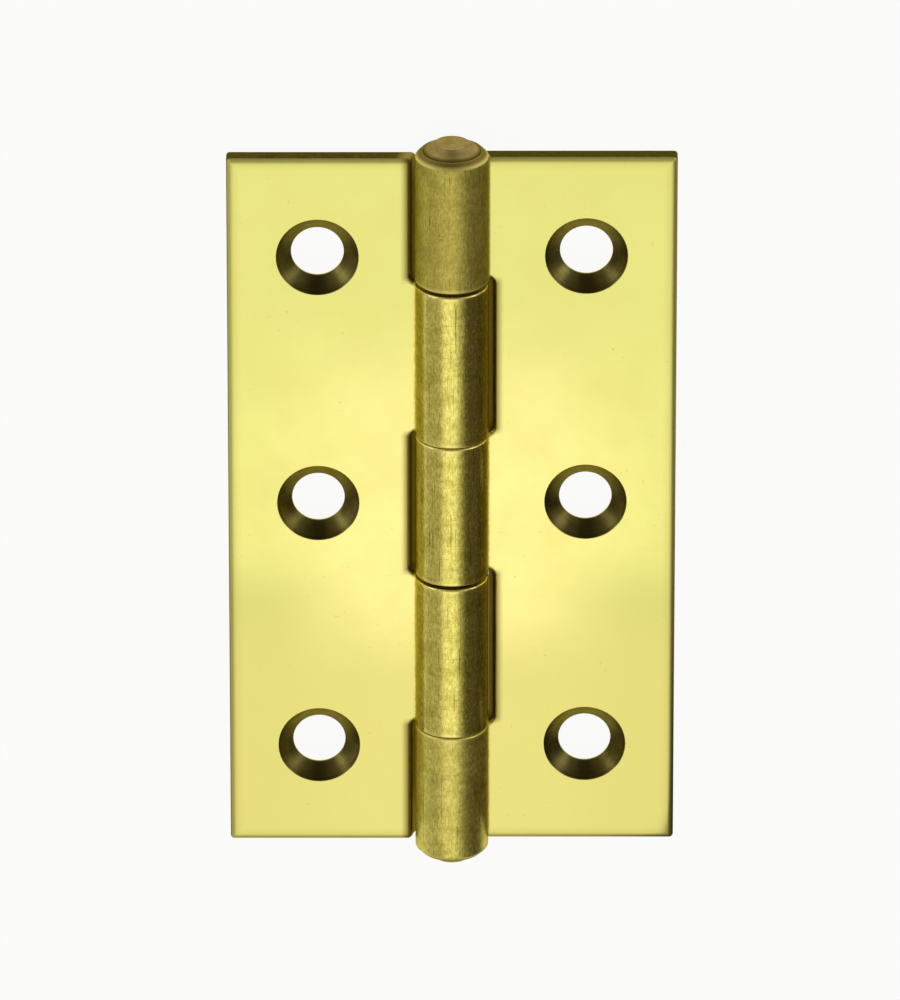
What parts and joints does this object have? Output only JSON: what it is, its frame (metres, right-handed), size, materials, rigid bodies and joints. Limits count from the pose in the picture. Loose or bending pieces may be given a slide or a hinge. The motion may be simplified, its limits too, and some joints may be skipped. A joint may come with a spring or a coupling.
{
  "type": "butt hinge",
  "caption": "Narrow butt hinge, open flat: oblong leaves with countersunk screw holes in line, joined by a knuckled barrel on a fast pin with low conical heads.",
  "frame": {"origin": "middle of the pin's axis, which is also the centre of the hinge's box when it lies open flat", "axes": "+X across the leaves towards the outer edge of the leaf with three knuckles, +Y along the pin, +Z out of the countersunk faces"},
  "size_m": [0.045, 0.0794, 0.0074],
  "materials": {
    "leaf_brass": "drawn and softly polished",
    "pin_brass": "drawn, with turned heads"
  },
  "bodies": {
    "pinned_leaf": {"three_knuckle_leaf": "leaf_brass", "hinge_pin": "pin_brass"},
    "swinging_leaf": {"two_knuckle_leaf": "leaf_brass"}
  },
  "joints": [
    {"name": "leaf_turn", "type": "hinge", "parent": "pinned_leaf", "child": "swinging_leaf", "pos_m": [0, 0, 0], "axis": [0, 1, 0], "range_deg": [-110, 180]}
  ]
}
